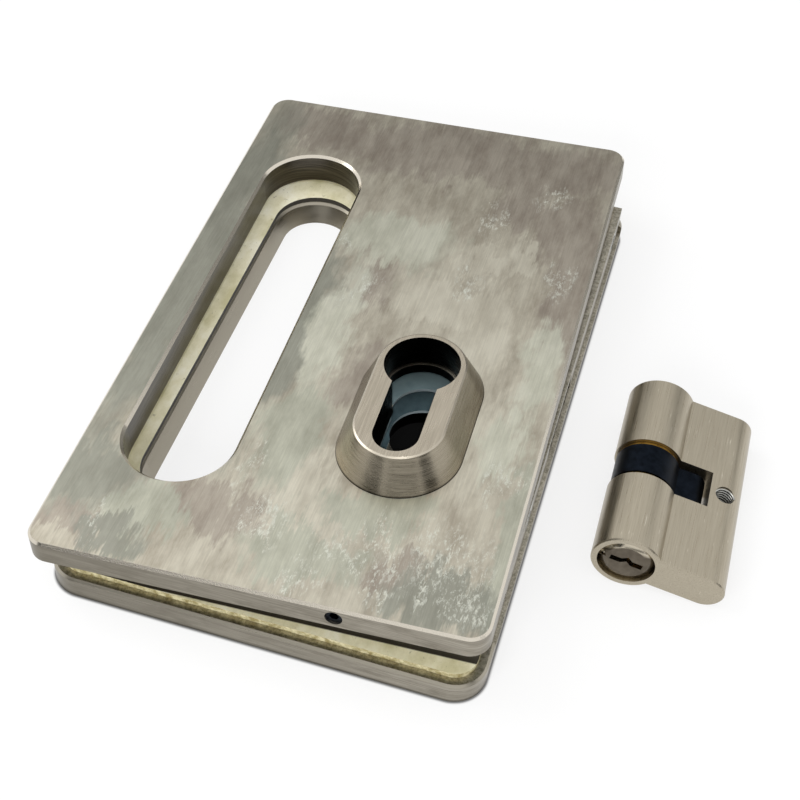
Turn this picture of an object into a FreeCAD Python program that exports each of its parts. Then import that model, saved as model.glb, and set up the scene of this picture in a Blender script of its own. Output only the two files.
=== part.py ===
import FreeCAD, Part
import math
import os

# Sliding glass door lock with a finger pull: two stainless plates that clamp the glass, a hook
# bolt case between them, and a profile cylinder that stands beside the lock.
# Millimetres, +Z up. The back plate lies on the table. The origin is in its outer face, in the
# middle of its width and halfway along the lock case. +X points to the closing edge of the door.
# The front plate is loose: without glass under it, it has slid and turned a little and lies tilted
# on the collar of its finger pull and on the far corner of the case.

os.makedirs("parts", exist_ok=True)
V = FreeCAD.Vector
Z_AXIS = V(0, 0, 1)

# Plates, the back one narrower and shorter
PLATE_T = 6.0
FRONT_W = 108.0
FRONT_L = 181.5
FRONT_CORNER_R = 5.0
BACK_W = 105.0
BACK_FAR_END = 84.0
BACK_NEAR_END = 91.0
BACK_CORNER_R = 8.0
EDGE_BEVEL = 0.6

# Finger pull through both plates
PULL_FROM_EDGE = 23.3
PULL_W = 27.8
PULL_L = 129.8
PULL_BEVEL = 0.7
COLLAR_WALL = 1.5
COLLAR_DROP = 2.5
BACK_PULL_FROM_EDGE = 21.1
BACK_PULL_W = 24.0
BACK_PULL_L = 120.4
BACK_PULL_BEVEL = 1.0
BACK_PULL_TAPER = 2.2

# Gaskets
BACK_GASKET_T = 1.5
FRONT_GASKET_T = 1.0
GASKET_INSET = 2.5
GASKET_LIP = 1.0
PULL_GASKET_LIP = 0.3
FRONT_GASKET_PLAY = 3.0

# Loose front plate, as it lies
FRONT_SLIP = 1.6
FRONT_ALONG = 0.6
FRONT_YAW = 1.13
FRONT_PITCH = 0.93
REST_GAP = 0.3

# Cylinder hole through the lock, wider in the bezel than in the plates
BACKSET = 32.8
CYL_Y = -20.7
BEZEL_HOLE_R = 9.4
HOLE_R = 9.0
HOLE_SLOT_HALF = 5.6
HOLE_DROP = 24.1
RELIEF_DEPTH = 3.5
CASE_HOLE_R = 8.9
CASE_SLOT_HALF = 8.0

# Tapered bezel round the cylinder hole
BEZEL_H = 9.0
BEZEL_BASE_HALF = 15.4
BEZEL_TOP_HALF = 10.9
BEZEL_RUN = 20.6
BEZEL_RIM = 0.3
BEZEL_DROP = 0.5

# Lock case
CASE_DEPTH = 50.0
CASE_FROM_END = 21.0
CASE_H = 9.1
CASE_SUNK = 2.1
SHEET = 0.9
CASE_WALL = 1.2
POCKET_PLAY = 0.15

# Forend strip
FOREND_T = 2.5
FOREND_INSET = 1.0
FOREND_OVER = 6.5
FOREND_PLAY = 0.1

# Hook bolt and the cam that throws it
CAM_REACH = 15.0
CAM_W = 9.0
BEAK_W = 7.0
HOOK_T = 4.2
HOOK_REACH = 25.0
HOOK_OUTER = 1.2
HOOK_SHANK = 8.0
HOOK_NOSE = 14.0
HOOK_THROAT = 17.0
HUB_R = 6.2
PIVOT_R = 3.0
PIVOT_TO_WALL = 6.6
PIVOT_RISE = 3.7
FORK_HALF = 7.0
FORK_SLOT_PLAY = 0.3
FORK_ENTRY = 0.6
NOTCH_R = 1.6

# Fasteners
FIT = 0.05
SIDE_PLAY = 0.2
POST_R = 2.5
POST_PITCH = 27.0
RIVET_R = 1.5
STUD_R = 2.0
STUD_ASIDE = 1.5
STUD_FROM_EDGE = 10.0
STUD_BORE_R = 6.0
STUD_BORE_DEPTH = 4.2
STUD_SEAT = 4.0
STUD_HEADROOM = 0.5
GRUB_R = 2.0
GRUB_L = 4.5
GRUB_SUNK = 0.6
FOREND_SCREW_FROM_END = 4.0
FOREND_SCREW_R = 2.0
FOREND_HEAD_R = 3.7
FOREND_SCREW_L = 8.0
CYL_SCREW_R = 2.5
CYL_SCREW_HEAD_R = 4.0
CASE_SCREW_R = 1.5
CASE_SCREW_HEAD_R = 2.75
CASE_SCREW_HEAD_H = 1.6
CASE_SCREW_IN = 11.7
CASE_SCREW_TO_LUG = 4.05
CASE_SCREW_FROM_END = 6.7
SCREW_SKIN = 0.6
BEZEL_SCREW_R = 1.25
BEZEL_SCREW_HEAD_R = 2.4
BEZEL_SCREW_GRIP = 3.0
HEX_DEPTH = 1.5
LUG_REACH = 7.0
LUG_HALF = 4.5
WIRE_R = 0.6

# Profile cylinder
BARREL_R = 8.5
FIN_HALF = 5.0
FIN_OUT = 19.5
CYLINDER_L = 54.0
CYLINDER_ASIDE = 23.6
CYLINDER_Y = -19.5
CYLINDER_YAW = 0.77
CAM_POCKET_W = 11.2
CAM_POCKET_OUT = 15.4
FIXING_OUT = 19.3
PLUG_R = 6.9
PLUG_NECK_R = 5.4
PLUG_SUNK = 0.2
PLUG_BEVEL = 0.5
KEYWAY_T = 1.6
KEYWAY_TALL = 8.0
KEYWAY_BEND = 1.1
KEYWAY_DEEP = 19.5
CAM_RING_R = 8.0
CLUTCH_HALF = 0.75
CLIP_T = 0.9
CLIP_R = 7.6
PIN_R = 1.4
PIN_COUNT = 5
PIN_FIRST = 4.8
PIN_PITCH = 3.3
PIN_BORE_START = 2.0
DRIVER_L = 4.6
SPRING_R = 1.2
CHAMBER_PLUG_L = 2.6

# Worked out from the sizes above
GASKET_TOP = PLATE_T + BACK_GASKET_T
EDGE_X = BACK_W / 2
FRONT_LEFT = EDGE_X - FRONT_W
PULL_X = FRONT_LEFT + PULL_FROM_EDGE
PULL_END = (PULL_L - PULL_W) / 2
BACK_PULL_X = -BACK_W / 2 + BACK_PULL_FROM_EDGE
BACK_PULL_Y = (BACK_FAR_END - BACK_NEAR_END) / 2
CYL_X = EDGE_X - BACKSET
CYLINDER_AT = V(EDGE_X + CYLINDER_ASIDE, CYLINDER_Y, BARREL_R)
CASE_LEFT = EDGE_X - CASE_DEPTH
CASE_L = FRONT_L - 2 * CASE_FROM_END
CASE_BOTTOM = PLATE_T - CASE_SUNK
CASE_TOP = CASE_BOTTOM + CASE_H
CASE_FLOOR = CASE_BOTTOM + SHEET
CASE_ROOF = CASE_TOP - SHEET
MID_Z = (CASE_BOTTOM + CASE_TOP) / 2
FOREND_OUT = EDGE_X - FOREND_INSET
FOREND_IN = FOREND_OUT - FOREND_T
FOREND_L = CASE_L + 2 * FOREND_OVER
FOREND_SCREW_Y = CASE_L / 2 - FOREND_SCREW_FROM_END
WALL_IN = FOREND_IN - CASE_WALL
PIVOT_X = WALL_IN - PIVOT_TO_WALL
PIVOT_Y = CYL_Y + PIVOT_RISE
CAM_TO_PIVOT = math.hypot(PIVOT_X - CYL_X, PIVOT_RISE)
THROW = 2 * math.degrees(math.asin(CAM_REACH / (CAM_TO_PIVOT - FORK_ENTRY)))
TO_CAM = math.degrees(math.atan2(CYL_Y - PIVOT_Y, CYL_X - PIVOT_X)) % 360
STUD_X = CYL_X - STUD_ASIDE
STUD_Y = FRONT_L / 2 - STUD_FROM_EDGE
FIN_DROOP = math.asin((BARREL_R - FIN_HALF) / FIN_OUT)

# Seat of the loose front plate: its collar's far end on the gasket, its underside on the case
COLLAR_X = PULL_X - PULL_W / 2 - COLLAR_WALL
YAW_SHIFT = CASE_L / 2 * math.sin(math.radians(FRONT_YAW))
COLLAR_TO_CASE = CASE_LEFT + FRONT_SLIP + YAW_SHIFT - COLLAR_X
PITCH_DROP = (CASE_L / 2 - PULL_END) * math.sin(math.radians(FRONT_PITCH))
COLLAR_LEAN = math.atan2(COLLAR_DROP, COLLAR_TO_CASE)
SEAT_RISE = CASE_TOP - GASKET_TOP + PITCH_DROP
TILT = math.degrees(math.asin(SEAT_RISE / math.hypot(COLLAR_TO_CASE, COLLAR_DROP)) - COLLAR_LEAN)
FRONT_TURN = (FreeCAD.Rotation(Z_AXIS, FRONT_YAW) * FreeCAD.Rotation(V(1, 0, 0), -FRONT_PITCH)
              * FreeCAD.Rotation(V(0, 1, 0), -TILT))
FRONT_Z = GASKET_TOP + REST_GAP - FRONT_TURN.multVec(V(COLLAR_X, PULL_END, -COLLAR_DROP)).z
FRONT_AT = FreeCAD.Placement(V(-FRONT_SLIP, -FRONT_ALONG, FRONT_Z), FRONT_TURN)


def save(shape, name):
    shape.exportStep("parts/" + name + ".step")


def rod(base, axis, radius, length):
    return Part.makeCylinder(radius, length, base, axis)


def box(x0, x1, y0, y1, z0, z1):
    return Part.makeBox(x1 - x0, y1 - y0, z1 - z0, V(x0, y0, z0))


def stadium_wire(x, y0, y1, half, z):
    """Outline with straight sides along Y and full-round ends centred on y0 and y1."""
    sides = [Part.makeLine(V(x + half, y0, z), V(x + half, y1, z)),
             Part.Arc(V(x + half, y1, z), V(x, y1 + half, z), V(x - half, y1, z)).toShape(),
             Part.makeLine(V(x - half, y1, z), V(x - half, y0, z)),
             Part.Arc(V(x - half, y0, z), V(x, y0 - half, z), V(x + half, y0, z)).toShape()]
    return Part.Wire(sides)


def stadium(x, y0, y1, half, z0, z1):
    face = Part.Face(stadium_wire(x, y0, y1, half, z0))
    return face.extrude(V(0, 0, z1 - z0))


def pull_slot(grow, z0, z1):
    """Finger pull of the front plate, grown by a wall or a gap all round."""
    return stadium(PULL_X, -PULL_END, PULL_END, PULL_W / 2 + grow, z0, z1)


def back_pull_wire(grow, z):
    reach = (BACK_PULL_L - BACK_PULL_W) / 2
    return stadium_wire(BACK_PULL_X, BACK_PULL_Y - reach, BACK_PULL_Y + reach, BACK_PULL_W / 2 + grow, z)


def rounded_plate(x0, x1, y0, y1, radius, z0, z1):
    slab = box(x0, x1, y0, y1, z0, z1)
    upright = [e for e in slab.Edges if e.BoundBox.ZLength > (z1 - z0) / 2]
    return slab.makeFillet(radius, upright)


def front_outline(inset, z0, z1):
    half = FRONT_L / 2 - inset
    return rounded_plate(FRONT_LEFT + inset, EDGE_X - inset, -half, half, FRONT_CORNER_R - inset, z0, z1)


def back_outline(inset, z0, z1):
    half = BACK_W / 2 - inset
    near = inset - BACK_NEAR_END
    far = BACK_FAR_END - inset
    return rounded_plate(-half, half, near, far, BACK_CORNER_R - inset, z0, z1)


def edges_at(shape, z):
    return [e for e in shape.Edges if abs(e.BoundBox.ZMin - z) < 1e-4 and abs(e.BoundBox.ZMax - z) < 1e-4]


def keyhole(radius, slot_half, z0, z1):
    """Hole for the profile cylinder: a round top and a slot that runs down from it."""
    round_top = rod(V(CYL_X, CYL_Y, z0), Z_AXIS, radius, z1 - z0)
    slot_end = CYL_Y - HOLE_DROP - HOLE_SLOT_HALF + slot_half
    return round_top.fuse(stadium(CYL_X, slot_end, CYL_Y, slot_half, z0, z1))


def countersunk(tip, axis, radius, length, head_radius):
    """Countersunk screw from its tip to the flat face of its head."""
    head_h = head_radius - radius
    shank = rod(tip, axis, radius, length - head_h)
    head = Part.makeCone(radius, head_radius, head_h, tip + axis * (length - head_h), axis)
    return shank.fuse(head)


def hex_socket(mouth, axis, across):
    """Hexagonal socket cut into a screw, from its mouth along the axis."""
    corner_r = across / 2 / math.cos(math.radians(30))
    turns = [math.radians(60 * k) for k in range(7)]
    corners = [V(corner_r * math.cos(turn), corner_r * math.sin(turn), 0) for turn in turns]
    prism = Part.Face(Part.makePolygon(corners)).extrude(V(0, 0, HEX_DEPTH))
    prism.Placement = FreeCAD.Placement(mouth, FreeCAD.Rotation(Z_AXIS, axis))
    return prism


def in_front(shape):
    """Carries a piece from the front plate's own frame, with its underside at 0, to where it lies."""
    placed = shape.copy()
    placed.Placement = FRONT_AT
    return placed


def in_cylinder(shape):
    """Carries a piece from the cylinder's own frame, axis on Y and fin on +X, to the table."""
    placed = shape.copy()
    turn = FreeCAD.Rotation(Z_AXIS, CYLINDER_YAW) * FreeCAD.Rotation(V(0, 1, 0), math.degrees(FIN_DROOP))
    placed.Placement = FreeCAD.Placement(CYLINDER_AT, turn)
    return placed


# Back plate group

def back_plate():
    plate = back_outline(0, 0, PLATE_T)
    plate = plate.makeChamfer(EDGE_BEVEL, edges_at(plate, PLATE_T))
    wall_top = PLATE_T - BACK_PULL_BEVEL
    taper = Part.makeLoft([back_pull_wire(-BACK_PULL_TAPER, 0), back_pull_wire(0, wall_top)], True, True)
    mouth = Part.makeLoft([back_pull_wire(0, wall_top), back_pull_wire(BACK_PULL_BEVEL, PLATE_T)], True, True)
    plate = plate.cut(taper).cut(mouth)
    case_half = CASE_L / 2 + POCKET_PLAY
    plate = plate.cut(box(CASE_LEFT - POCKET_PLAY, EDGE_X, -case_half, case_half, CASE_BOTTOM, PLATE_T))
    strip_half = FOREND_L / 2 + POCKET_PLAY
    plate = plate.cut(box(FOREND_IN, EDGE_X, -strip_half, strip_half, CASE_BOTTOM, PLATE_T))
    plate = plate.cut(keyhole(HOLE_R, HOLE_SLOT_HALF, 0, PLATE_T))
    for side in (-1, 1):
        plate = plate.cut(rod(V(STUD_X, side * STUD_Y, PLATE_T - STUD_SEAT), Z_AXIS, STUD_R + FIT, STUD_SEAT))
    for x, y in case_screw_places():
        plate = plate.cut(rod(V(x, y, SCREW_SKIN), Z_AXIS, CASE_SCREW_R + FIT, CASE_BOTTOM))
    return plate


def back_gasket():
    pad = back_outline(GASKET_INSET, PLATE_T, GASKET_TOP)
    pull = Part.Face(back_pull_wire(PULL_GASKET_LIP, PLATE_T)).extrude(V(0, 0, BACK_GASKET_T))
    pad = pad.cut(pull)
    case_half = CASE_L / 2 + GASKET_LIP
    pad = pad.cut(box(CASE_LEFT - GASKET_LIP, EDGE_X, -case_half, case_half, PLATE_T, GASKET_TOP))
    strip_half = FOREND_L / 2 + GASKET_LIP
    pad = pad.cut(box(FOREND_IN - GASKET_LIP, EDGE_X, -strip_half, strip_half, PLATE_T, GASKET_TOP))
    for side in (-1, 1):
        pad = pad.cut(rod(V(STUD_X, side * STUD_Y, PLATE_T), Z_AXIS, STUD_R + REST_GAP, BACK_GASKET_T))
    return pad


def clamp_studs():
    foot = PLATE_T - STUD_SEAT
    studs = []
    for side in (-1, 1):
        roof = FRONT_AT.multVec(V(STUD_X, side * STUD_Y, STUD_BORE_DEPTH)).z
        top = roof - STUD_HEADROOM
        stud = rod(V(STUD_X, side * STUD_Y, foot), Z_AXIS, STUD_R, top - foot)
        studs.append(stud.makeChamfer(EDGE_BEVEL, edges_at(stud, top)))
    return Part.makeCompound(studs)


# Lock case

def post_places():
    inset = POST_R + CASE_WALL + SIDE_PLAY
    end = CASE_L / 2 - inset
    return [(CASE_LEFT + inset, -end), (CASE_LEFT + inset, end),
            (CASE_LEFT + inset, CYL_Y + POST_PITCH), (PIVOT_X, CYL_Y + 2 * POST_PITCH)]


def case_screw_places():
    left = CASE_LEFT + CASE_SCREW_IN
    right = WALL_IN - LUG_REACH - CASE_SCREW_TO_LUG - CASE_SCREW_HEAD_R
    end = CASE_L / 2 - CASE_SCREW_FROM_END
    return [(left, -end), (left, end), (right, -end), (right, end)]


def bolt_slot():
    """Mouth of the hook, as long as the hook's sweep where it leaves the case."""
    low = PIVOT_Y - HOOK_OUTER - 2 * SIDE_PLAY
    high = PIVOT_Y + math.sqrt(HOOK_REACH ** 2 - PIVOT_TO_WALL ** 2) + 2 * SIDE_PLAY
    half_t = HOOK_T / 2 + SIDE_PLAY
    return box(WALL_IN - CASE_WALL, EDGE_X + CASE_WALL, low, high, MID_Z - half_t, MID_Z + half_t)


def cylinder_screw_y():
    return CYL_Y - FIXING_OUT


def lock_case():
    half = CASE_L / 2
    case = box(CASE_LEFT, FOREND_IN, -half, half, CASE_BOTTOM, CASE_ROOF)
    inner = half - CASE_WALL
    case = case.cut(box(CASE_LEFT + CASE_WALL, WALL_IN, -inner, inner, CASE_FLOOR, CASE_ROOF))
    for side in (-1, 1):
        y = side * FOREND_SCREW_Y
        outer = side * inner
        inside = y - side * LUG_HALF
        lug = box(WALL_IN - LUG_REACH, WALL_IN, min(outer, inside), max(outer, inside), CASE_FLOOR, CASE_ROOF)
        case = case.fuse(lug)
        case = case.cut(rod(V(WALL_IN - LUG_REACH, y, MID_Z), V(1, 0, 0), FOREND_SCREW_R + FIT, EDGE_X))
    case = case.cut(keyhole(CASE_HOLE_R, CASE_SLOT_HALF, CASE_BOTTOM, CASE_FLOOR))
    case = case.cut(bolt_slot())
    screw_entry = V(WALL_IN - CASE_WALL, cylinder_screw_y(), MID_Z)
    case = case.cut(rod(screw_entry, V(1, 0, 0), CYL_SCREW_R + SIDE_PLAY, EDGE_X))
    case = case.cut(rod(V(PIVOT_X, PIVOT_Y, CASE_BOTTOM), Z_AXIS, PIVOT_R + FIT, SHEET))
    for x, y in post_places():
        case = case.cut(rod(V(x, y, CASE_BOTTOM), Z_AXIS, RIVET_R + FIT, SHEET))
    for x, y in case_screw_places():
        case = case.cut(rod(V(x, y, CASE_BOTTOM), Z_AXIS, CASE_SCREW_R + FIT, SHEET))
    return case


def spring_peg_places():
    line_y = PIVOT_Y - HUB_R - SIDE_PLAY - 2 * WIRE_R
    drop = line_y - SIDE_PLAY / 2 - RIVET_R
    return [(PIVOT_X - 2 * HUB_R, drop), (PIVOT_X + HUB_R / 2, drop)]


def case_cover():
    half = CASE_L / 2
    cover = box(CASE_LEFT, FOREND_IN, -half, half, CASE_ROOF, CASE_TOP)
    cover = cover.cut(keyhole(CASE_HOLE_R, CASE_SLOT_HALF, CASE_ROOF, CASE_TOP))
    cover = cover.cut(rod(V(PIVOT_X, PIVOT_Y, CASE_ROOF), Z_AXIS, PIVOT_R + FIT, SHEET))
    for x, y in post_places():
        cover = cover.cut(rod(V(x, y, CASE_ROOF), Z_AXIS, RIVET_R + FIT, SHEET))
    peg_h = 2 * WIRE_R + SIDE_PLAY
    for x, y in spring_peg_places():
        cover = cover.fuse(rod(V(x, y, CASE_ROOF - peg_h), Z_AXIS, RIVET_R, peg_h))
    return cover


def case_rivets():
    posts = []
    for x, y in post_places():
        post = rod(V(x, y, CASE_FLOOR), Z_AXIS, POST_R, CASE_ROOF - CASE_FLOOR)
        posts.append(post.fuse(rod(V(x, y, CASE_BOTTOM), Z_AXIS, RIVET_R, CASE_TOP - CASE_BOTTOM)))
    return Part.makeCompound(posts)


def case_screws():
    screws = []
    for x, y in case_screw_places():
        screw = rod(V(x, y, CASE_FLOOR), Z_AXIS, CASE_SCREW_HEAD_R, CASE_SCREW_HEAD_H)
        screw = screw.makeChamfer(EDGE_BEVEL, edges_at(screw, CASE_FLOOR + CASE_SCREW_HEAD_H))
        screw = screw.fuse(rod(V(x, y, 2 * SCREW_SKIN), Z_AXIS, CASE_SCREW_R, CASE_FLOOR - 2 * SCREW_SKIN))
        screws.append(screw)
    return Part.makeCompound(screws)


def detent_spring():
    """Wire that lies on two pegs of the cover and presses on the hub's upper band."""
    pegs = spring_peg_places()
    line_y = pegs[0][1] + RIVET_R + SIDE_PLAY / 2 + WIRE_R
    z = CASE_ROOF - WIRE_R - SIDE_PLAY / 2
    bend = RIVET_R + SIDE_PLAY / 2 + WIRE_R
    left, right = pegs[0][0], pegs[1][0]
    y = pegs[0][1]
    mid = bend / math.sqrt(2)
    path = Part.Wire([Part.makeLine(V(left - bend, y - bend, z), V(left - bend, y, z)),
                      Part.Arc(V(left - bend, y, z), V(left - mid, y + mid, z),
                               V(left, line_y, z)).toShape(),
                      Part.makeLine(V(left, line_y, z), V(right, line_y, z)),
                      Part.Arc(V(right, line_y, z), V(right + mid, y + mid, z),
                               V(right + bend, y, z)).toShape(),
                      Part.makeLine(V(right + bend, y, z), V(right + bend, y - bend, z))])
    start = V(left - bend, y - bend, z)
    section = Part.Wire(Part.makeCircle(WIRE_R, start, V(0, 1, 0)))
    return path.makePipeShell([section], True, False)


# Hook bolt

def hook_blade():
    """Shank and nose of the hook in the drawn-back state, with the pivot at 0."""
    top_y = math.sqrt(HOOK_REACH ** 2 - HOOK_OUTER ** 2)
    nose_y = math.sqrt(HOOK_REACH ** 2 - HOOK_NOSE ** 2)
    mid_x = (HOOK_OUTER - HOOK_NOSE) / 2
    mid_y = math.sqrt(HOOK_REACH ** 2 - mid_x ** 2)
    z = -HOOK_T / 2
    outer_foot = V(HOOK_OUTER, 0, z)
    outer_top = V(HOOK_OUTER, top_y, z)
    nose_top = V(-HOOK_NOSE, nose_y, z)
    nose_low = V(-HOOK_NOSE, HOOK_THROAT - HOOK_OUTER, z)
    throat = V(-HOOK_SHANK, HOOK_THROAT, z)
    inner_foot = V(-HOOK_SHANK, 0, z)
    outline = Part.Wire([Part.makeLine(outer_foot, outer_top),
                         Part.Arc(outer_top, V(mid_x, mid_y, z), nose_top).toShape(),
                         Part.makeLine(nose_top, nose_low),
                         Part.makeLine(nose_low, throat),
                         Part.makeLine(throat, inner_foot),
                         Part.makeLine(inner_foot, outer_foot)])
    blade = Part.Face(outline).extrude(V(0, 0, HOOK_T))
    tips = [e for e in blade.Edges if e.BoundBox.ZLength > HOOK_T / 2 and e.BoundBox.YMin > HUB_R]
    return blade.makeFillet(HOOK_OUTER, tips)


def hook_fork():
    """Forked tail that the cam's beak enters, pointing where the drawn-back hook holds it."""
    slot_half = BEAK_W / 2 + FORK_SLOT_PLAY
    slot_bottom = CAM_TO_PIVOT - CAM_REACH - 2 * FORK_SLOT_PLAY
    reach = math.sqrt(CAM_TO_PIVOT ** 2 - CAM_REACH ** 2)
    z0 = -HOOK_T / 2
    tail = box(-FORK_HALF, FORK_HALF, 0, reach, z0, -z0)
    tips = [e for e in tail.Edges if e.BoundBox.ZLength > HOOK_T / 2 and e.BoundBox.YMin > HUB_R]
    tail = tail.makeFillet(2 * HOOK_OUTER, tips)
    slot = stadium(0, slot_bottom + slot_half, 2 * reach, slot_half, z0, -z0)
    tail = tail.cut(slot)
    tail.rotate(V(0, 0, 0), Z_AXIS, TO_CAM + THROW / 2 - 90)
    for turn in (0, THROW):
        angle = math.radians(TO_CAM + turn)
        cam_at = V(CAM_TO_PIVOT * math.cos(angle), CAM_TO_PIVOT * math.sin(angle), z0)
        tail = tail.cut(rod(cam_at, Z_AXIS, BARREL_R + 3 * SIDE_PLAY, HOOK_T))
    return tail


def hook_bolt():
    z0 = CASE_FLOOR + SIDE_PLAY - MID_Z
    hub = rod(V(0, 0, z0), Z_AXIS, HUB_R, -2 * z0)
    bolt = hub.fuse([hook_blade(), hook_fork()])
    for turn in (0, THROW):
        angle = math.radians(270 + turn)
        notch_at = V(HUB_R * math.cos(angle), HUB_R * math.sin(angle), HOOK_T / 2)
        bolt = bolt.cut(rod(notch_at, Z_AXIS, NOTCH_R, -z0))
    bolt = bolt.cut(rod(V(0, 0, z0), Z_AXIS, PIVOT_R + FIT, -2 * z0))
    bolt = bolt.removeSplitter()
    bolt.translate(V(PIVOT_X, PIVOT_Y, MID_Z))
    return bolt


def hook_pivot_pin():
    return rod(V(PIVOT_X, PIVOT_Y, CASE_BOTTOM), Z_AXIS, PIVOT_R, CASE_TOP - CASE_BOTTOM)


# Forend and its screws

def forend():
    half = FOREND_L / 2
    strip = box(FOREND_IN, FOREND_OUT, -half, half, CASE_BOTTOM + FOREND_PLAY, CASE_TOP - FOREND_PLAY)
    strip = strip.cut(bolt_slot())
    for side in (-1, 1):
        tip = V(FOREND_IN - FOREND_T, side * FOREND_SCREW_Y, MID_Z)
        hole = countersunk(tip, V(1, 0, 0), FOREND_SCREW_R + FIT, 2 * FOREND_T, FOREND_HEAD_R + FIT)
        strip = strip.cut(hole)
    tip = V(FOREND_IN - FOREND_T, cylinder_screw_y(), MID_Z)
    screw_hole = countersunk(tip, V(1, 0, 0), CYL_SCREW_R + SIDE_PLAY, 2 * FOREND_T,
                             CYL_SCREW_HEAD_R + SIDE_PLAY)
    return strip.cut(screw_hole)


def forend_screws():
    screws = []
    for side in (-1, 1):
        face = V(FOREND_OUT, side * FOREND_SCREW_Y, MID_Z)
        tip = face - V(FOREND_SCREW_L, 0, 0)
        screw = countersunk(tip, V(1, 0, 0), FOREND_SCREW_R, FOREND_SCREW_L, FOREND_HEAD_R)
        screws.append(screw.cut(hex_socket(face, V(-1, 0, 0), 2 * FOREND_SCREW_R)))
    return Part.makeCompound(screws)


def cylinder_screw():
    """Long screw that holds the cylinder by its fin, left in the lock."""
    face = V(FOREND_OUT, cylinder_screw_y(), MID_Z)
    length = FOREND_OUT - (CYL_X - FIN_HALF)
    screw = countersunk(face - V(length, 0, 0), V(1, 0, 0), CYL_SCREW_R, length, CYL_SCREW_HEAD_R)
    return screw.cut(hex_socket(face, V(-1, 0, 0), CYL_SCREW_R + FIT))


# Front plate group, built with the underside of the plate at 0

def front_plate():
    plate = front_outline(0, 0, PLATE_T)
    plate = plate.makeChamfer(EDGE_BEVEL, edges_at(plate, PLATE_T))
    plate = plate.fuse(pull_slot(COLLAR_WALL, -COLLAR_DROP, 0)).cut(pull_slot(0, -COLLAR_DROP, PLATE_T))
    plate = plate.removeSplitter()
    rim = [e for e in edges_at(plate, PLATE_T) if abs(e.BoundBox.Center.x - PULL_X) < PULL_W / 2 + EDGE_BEVEL
           and e.BoundBox.XLength < PULL_W + EDGE_BEVEL]
    plate = plate.makeChamfer(PULL_BEVEL, rim)
    low, high = bezel_base_y()
    plate = plate.cut(stadium(CYL_X, low, high, BEZEL_BASE_HALF, 0, RELIEF_DEPTH))
    plate = plate.cut(keyhole(HOLE_R, HOLE_SLOT_HALF, RELIEF_DEPTH, PLATE_T))
    for side in (-1, 1):
        plate = plate.cut(rod(V(STUD_X, side * STUD_Y, 0), Z_AXIS, STUD_BORE_R, STUD_BORE_DEPTH))
        edge = V(STUD_X, side * FRONT_L / 2, PLATE_T / 2)
        plate = plate.cut(rod(edge, V(0, -side, 0), GRUB_R + FIT, STUD_FROM_EDGE))
    for y in bezel_screw_ys():
        hole = countersunk(V(CYL_X, y, PLATE_T), V(0, 0, -1), BEZEL_SCREW_R + FIT, PLATE_T - RELIEF_DEPTH,
                           BEZEL_SCREW_HEAD_R + FIT)
        plate = plate.cut(hole)
    return plate


def front_gasket():
    z0 = -FRONT_GASKET_T
    pad = front_outline(GASKET_INSET, z0, 0)
    pad = pad.cut(pull_slot(COLLAR_WALL + REST_GAP, z0, 0))
    case_half = CASE_L / 2 + FRONT_GASKET_PLAY
    pad = pad.cut(box(CASE_LEFT - FRONT_GASKET_PLAY, EDGE_X, -case_half, case_half, z0, 0))
    strip_half = FOREND_L / 2 + FRONT_GASKET_PLAY
    pad = pad.cut(box(FOREND_IN - FRONT_GASKET_PLAY, EDGE_X, -strip_half, strip_half, z0, 0))
    for side in (-1, 1):
        pad = pad.cut(rod(V(STUD_X, side * STUD_Y, z0), Z_AXIS, STUD_BORE_R, FRONT_GASKET_T))
    return pad


def bezel_base_y():
    """Middles of the two round ends of the bezel's base."""
    low = CYL_Y - HOLE_DROP - HOLE_SLOT_HALF + BEZEL_HOLE_R
    return low - BEZEL_DROP, low - BEZEL_DROP + BEZEL_RUN


def bezel_screw_ys():
    low, high = bezel_base_y()
    wall_low = ((low - BEZEL_BASE_HALF) + (CYL_Y - HOLE_DROP - HOLE_SLOT_HALF)) / 2
    wall_high = ((high + BEZEL_BASE_HALF) + (CYL_Y + BEZEL_HOLE_R)) / 2
    return wall_low + BEZEL_RIM, wall_high - BEZEL_RIM


def bezel():
    low, high = bezel_base_y()
    foot = stadium_wire(CYL_X, low, high, BEZEL_BASE_HALF, PLATE_T)
    crown = stadium_wire(CYL_X, low, high, BEZEL_TOP_HALF, PLATE_T + BEZEL_H)
    body = Part.makeLoft([foot, crown], True, True)
    body = body.makeChamfer(BEZEL_RIM, edges_at(body, PLATE_T + BEZEL_H))
    body = body.cut(keyhole(BEZEL_HOLE_R, HOLE_SLOT_HALF, PLATE_T, PLATE_T + BEZEL_H))
    for y in bezel_screw_ys():
        body = body.cut(rod(V(CYL_X, y, PLATE_T), Z_AXIS, BEZEL_SCREW_R + FIT, BEZEL_SCREW_GRIP + REST_GAP))
    return body


def bezel_screws():
    screws = []
    for y in bezel_screw_ys():
        length = PLATE_T - RELIEF_DEPTH + BEZEL_SCREW_GRIP
        tip = V(CYL_X, y, PLATE_T + BEZEL_SCREW_GRIP)
        screws.append(countersunk(tip, V(0, 0, -1), BEZEL_SCREW_R, length, BEZEL_SCREW_HEAD_R))
    return Part.makeCompound(screws)


def grub_screws():
    screws = []
    for side in (-1, 1):
        face = V(STUD_X, side * (FRONT_L / 2 - GRUB_SUNK), PLATE_T / 2)
        inward = V(0, -side, 0)
        point = Part.makeCone(GRUB_R, GRUB_R / 2, GRUB_R / 2, face + inward * (GRUB_L - GRUB_R / 2), inward)
        screw = rod(face, inward, GRUB_R, GRUB_L - GRUB_R / 2).fuse(point)
        screws.append(screw.cut(hex_socket(face, inward, GRUB_R)))
    return Part.makeCompound(screws)


# Profile cylinder, built with its axis on Y, its middle at 0 and its fin on +X

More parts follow.
